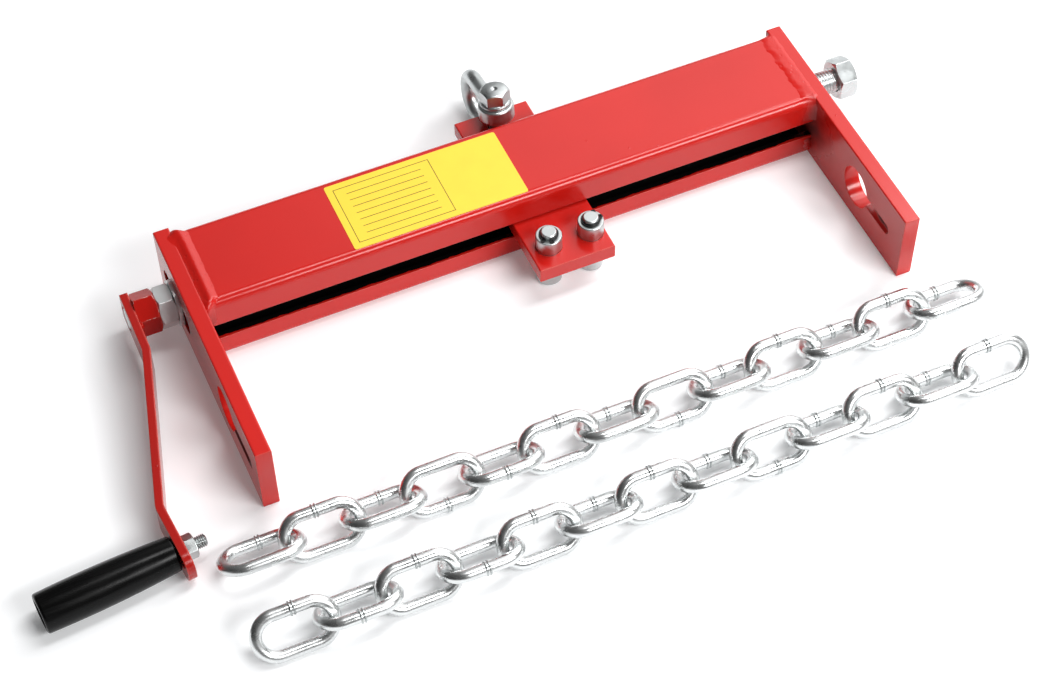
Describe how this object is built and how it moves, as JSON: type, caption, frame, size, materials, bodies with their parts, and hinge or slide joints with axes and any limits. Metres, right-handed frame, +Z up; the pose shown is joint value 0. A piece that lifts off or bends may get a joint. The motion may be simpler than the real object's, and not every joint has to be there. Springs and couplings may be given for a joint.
{
  "type": "engine load leveler",
  "caption": "Crank-driven lifting beam: a screw in a slotted frame moves a traveler with a shackle, beside loose load chains.",
  "frame": {"origin": "floor point under the middle of the frame's channels", "axes": "+X along the screw away from the crank, +Y to the shackle's side, +Z up"},
  "size_m": [0.5979, 0.3525, 0.0571],
  "materials": {
    "red_paint": "gloss",
    "zinc_plated_steel": "satin zinc plate",
    "chain_zinc": "bright zinc plate",
    "black_spring_steel": "black oxide",
    "black_grip": "semi-gloss"
  },
  "bodies": {
    "frame": {"upper_channel": "red_paint", "lower_channel": "red_paint", "left_end_plate": "red_paint", "right_end_plate": "red_paint", "left_end_weld": "red_paint", "right_end_weld": "red_paint"},
    "crank": {"lead_screw": "zinc_plated_steel", "left_thrust_nut": "zinc_plated_steel", "left_thrust_washer": "zinc_plated_steel", "right_end_nut": "zinc_plated_steel", "crank_hub_nut": "red_paint", "crank_arm": "red_paint", "grip_bolt": "zinc_plated_steel", "grip_nut": "zinc_plated_steel"},
    "grip": {"handle_grip": "black_grip"},
    "traveler": {"traveler_nut": "zinc_plated_steel", "traveler_front_bar": "red_paint", "traveler_rear_bar": "red_paint", "keeper_sleeve_left": "zinc_plated_steel", "keeper_sleeve_right": "zinc_plated_steel", "keeper_core_left": "zinc_plated_steel", "keeper_core_right": "zinc_plated_steel", "keeper_clip_left": "black_spring_steel", "keeper_clip_right": "black_spring_steel"},
    "shackle": {"shackle_bow": "zinc_plated_steel", "shackle_pin": "zinc_plated_steel"},
    "chain_a_link_01": {"chain_a_link_01": "chain_zinc"},
    "chain_a_link_02": {"chain_a_link_02": "chain_zinc"},
    "chain_a_link_03": {"chain_a_link_03": "chain_zinc"},
    "chain_a_link_04": {"chain_a_link_04": "chain_zinc"},
    "chain_a_link_05": {"chain_a_link_05": "chain_zinc"},
    "chain_a_link_06": {"chain_a_link_06": "chain_zinc"},
    "chain_a_link_07": {"chain_a_link_07": "chain_zinc"},
    "chain_a_link_08": {"chain_a_link_08": "chain_zinc"},
    "chain_a_link_09": {"chain_a_link_09": "chain_zinc"},
    "chain_a_link_10": {"chain_a_link_10": "chain_zinc"},
    "chain_a_link_11": {"chain_a_link_11": "chain_zinc"},
    "chain_a_link_12": {"chain_a_link_12": "chain_zinc"},
    "chain_a_link_13": {"chain_a_link_13": "chain_zinc"},
    "chain_b_link_01": {"chain_b_link_01": "chain_zinc"},
    "chain_b_link_02": {"chain_b_link_02": "chain_zinc"},
    "chain_b_link_03": {"chain_b_link_03": "chain_zinc"},
    "chain_b_link_04": {"chain_b_link_04": "chain_zinc"},
    "chain_b_link_05": {"chain_b_link_05": "chain_zinc"},
    "chain_b_link_06": {"chain_b_link_06": "chain_zinc"},
    "chain_b_link_07": {"chain_b_link_07": "chain_zinc"},
    "chain_b_link_08": {"chain_b_link_08": "chain_zinc"},
    "chain_b_link_09": {"chain_b_link_09": "chain_zinc"},
    "chain_b_link_10": {"chain_b_link_10": "chain_zinc"},
    "chain_b_link_11": {"chain_b_link_11": "chain_zinc"},
    "chain_b_link_12": {"chain_b_link_12": "chain_zinc"},
    "chain_b_link_13": {"chain_b_link_13": "chain_zinc"}
  },
  "joints": [
    {"name": "crank_turn", "type": "hinge", "parent": "frame", "child": "crank", "pos_m": [0, 0, 0.0235], "axis": [-1, 0, 0], "range_deg": [-34200, 27000]},
    {"name": "grip_spin", "type": "hinge", "parent": "crank", "child": "grip", "pos_m": [-0.2665, -0.16205, 0.01287], "axis": [0.9962, 0.087, 0.0057], "continuous": true},
    {"name": "traveler_travel", "type": "slide", "parent": "frame", "child": "traveler", "axis": [1, 0, 0], "range_m": [-0.19, 0.15]},
    {"name": "shackle_swing", "type": "hinge", "parent": "traveler", "child": "shackle", "pos_m": [0.0195, 0.048, 0.0235], "axis": [0, 0, 1], "range_deg": [-95, 95]},
    {"name": "chain_a_lift", "type": "slide", "parent": "frame", "child": "chain_a_link_01", "axis": [0, 0, 1], "range_m": [0, 0.3]},
    {"name": "chain_a_joint_01", "type": "hinge", "parent": "chain_a_link_01", "child": "chain_a_link_02", "pos_m": [-0.2037, -0.1817, 0.01162], "axis": [0, 0.9397, -0.342], "range_deg": [-45, 45]},
    {"name": "chain_a_joint_02", "type": "hinge", "parent": "chain_a_link_02", "child": "chain_a_link_03", "pos_m": [-0.1672, -0.1817, 0.01162], "axis": [0, 0.6428, 0.766], "range_deg": [-45, 45]},
    {"name": "chain_a_joint_03", "type": "hinge", "parent": "chain_a_link_03", "child": "chain_a_link_04", "pos_m": [-0.1307, -0.1817, 0.01162], "axis": [0, -0.9397, 0.342], "range_deg": [-45, 45]},
    {"name": "chain_a_joint_04", "type": "hinge", "parent": "chain_a_link_04", "child": "chain_a_link_05", "pos_m": [-0.0942, -0.1817, 0.01162], "axis": [0, -0.6428, -0.766], "range_deg": [-45, 45]},
    {"name": "chain_a_joint_05", "type": "hinge", "parent": "chain_a_link_05", "child": "chain_a_link_06", "pos_m": [-0.0577, -0.1817, 0.01162], "axis": [0, 0.9397, -0.342], "range_deg": [-45, 45]},
    {"name": "chain_a_joint_06", "type": "hinge", "parent": "chain_a_link_06", "child": "chain_a_link_07", "pos_m": [-0.0212, -0.1817, 0.01162], "axis": [0, 0.6428, 0.766], "range_deg": [-45, 45]},
    {"name": "chain_a_joint_07", "type": "hinge", "parent": "chain_a_link_07", "child": "chain_a_link_08", "pos_m": [0.0153, -0.1817, 0.01162], "axis": [0, -0.9397, 0.342], "range_deg": [-45, 45]},
    {"name": "chain_a_joint_08", "type": "hinge", "parent": "chain_a_link_08", "child": "chain_a_link_09", "pos_m": [0.0518, -0.1817, 0.01162], "axis": [0, -0.6428, -0.766], "range_deg": [-45, 45]},
    {"name": "chain_a_joint_09", "type": "hinge", "parent": "chain_a_link_09", "child": "chain_a_link_10", "pos_m": [0.0883, -0.1817, 0.01162], "axis": [0, 0.9397, -0.342], "range_deg": [-45, 45]},
    {"name": "chain_a_joint_10", "type": "hinge", "parent": "chain_a_link_10", "child": "chain_a_link_11", "pos_m": [0.1248, -0.1817, 0.01162], "axis": [0, 0.6428, 0.766], "range_deg": [-45, 45]},
    {"name": "chain_a_joint_11", "type": "hinge", "parent": "chain_a_link_11", "child": "chain_a_link_12", "pos_m": [0.1613, -0.1817, 0.01162], "axis": [0, -0.9397, 0.342], "range_deg": [-45, 45]},
    {"name": "chain_a_joint_12", "type": "hinge", "parent": "chain_a_link_12", "child": "chain_a_link_13", "pos_m": [0.1978, -0.1817, 0.01162], "axis": [0, -0.6428, -0.766], "range_deg": [-45, 45]},
    {"name": "chain_b_lift", "type": "slide", "parent": "frame", "child": "chain_b_link_01", "axis": [0, 0, 1], "range_m": [0, 0.25]},
    {"name": "chain_b_joint_01", "type": "hinge", "parent": "chain_b_link_01", "child": "chain_b_link_02", "pos_m": [-0.2037, -0.236, 0.01162], "axis": [0, 0.6428, 0.766], "range_deg": [-45, 45]},
    {"name": "chain_b_joint_02", "type": "hinge", "parent": "chain_b_link_02", "child": "chain_b_link_03", "pos_m": [-0.1672, -0.236, 0.01162], "axis": [0, 0.9397, -0.342], "range_deg": [-45, 45]},
    {"name": "chain_b_joint_03", "type": "hinge", "parent": "chain_b_link_03", "child": "chain_b_link_04", "pos_m": [-0.1307, -0.236, 0.01162], "axis": [0, -0.6428, -0.766], "range_deg": [-45, 45]},
    {"name": "chain_b_joint_04", "type": "hinge", "parent": "chain_b_link_04", "child": "chain_b_link_05", "pos_m": [-0.0942, -0.236, 0.01162], "axis": [0, -0.9397, 0.342], "range_deg": [-45, 45]},
    {"name": "chain_b_joint_05", "type": "hinge", "parent": "chain_b_link_05", "child": "chain_b_link_06", "pos_m": [-0.0577, -0.236, 0.01162], "axis": [0, 0.6428, 0.766], "range_deg": [-45, 45]},
    {"name": "chain_b_joint_06", "type": "hinge", "parent": "chain_b_link_06", "child": "chain_b_link_07", "pos_m": [-0.0212, -0.236, 0.01162], "axis": [0, 0.9397, -0.342], "range_deg": [-45, 45]},
    {"name": "chain_b_joint_07", "type": "hinge", "parent": "chain_b_link_07", "child": "chain_b_link_08", "pos_m": [0.0153, -0.236, 0.01162], "axis": [0, -0.6428, -0.766], "range_deg": [-45, 45]},
    {"name": "chain_b_joint_08", "type": "hinge", "parent": "chain_b_link_08", "child": "chain_b_link_09", "pos_m": [0.0518, -0.236, 0.01162], "axis": [0, -0.9397, 0.342], "range_deg": [-45, 45]},
    {"name": "chain_b_joint_09", "type": "hinge", "parent": "chain_b_link_09", "child": "chain_b_link_10", "pos_m": [0.0883, -0.236, 0.01162], "axis": [0, 0.6428, 0.766], "range_deg": [-45, 45]},
    {"name": "chain_b_joint_10", "type": "hinge", "parent": "chain_b_link_10", "child": "chain_b_link_11", "pos_m": [0.1248, -0.236, 0.01162], "axis": [0, 0.9397, -0.342], "range_deg": [-45, 45]},
    {"name": "chain_b_joint_11", "type": "hinge", "parent": "chain_b_link_11", "child": "chain_b_link_12", "pos_m": [0.1613, -0.236, 0.01162], "axis": [0, -0.6428, -0.766], "range_deg": [-45, 45]},
    {"name": "chain_b_joint_12", "type": "hinge", "parent": "chain_b_link_12", "child": "chain_b_link_13", "pos_m": [0.1978, -0.236, 0.01162], "axis": [0, -0.9397, 0.342], "range_deg": [-45, 45]}
  ],
  "couplings": [
    {"joint": "traveler_travel", "follows": "crank_turn", "m_per_rad": 0.00031831}
  ]
}
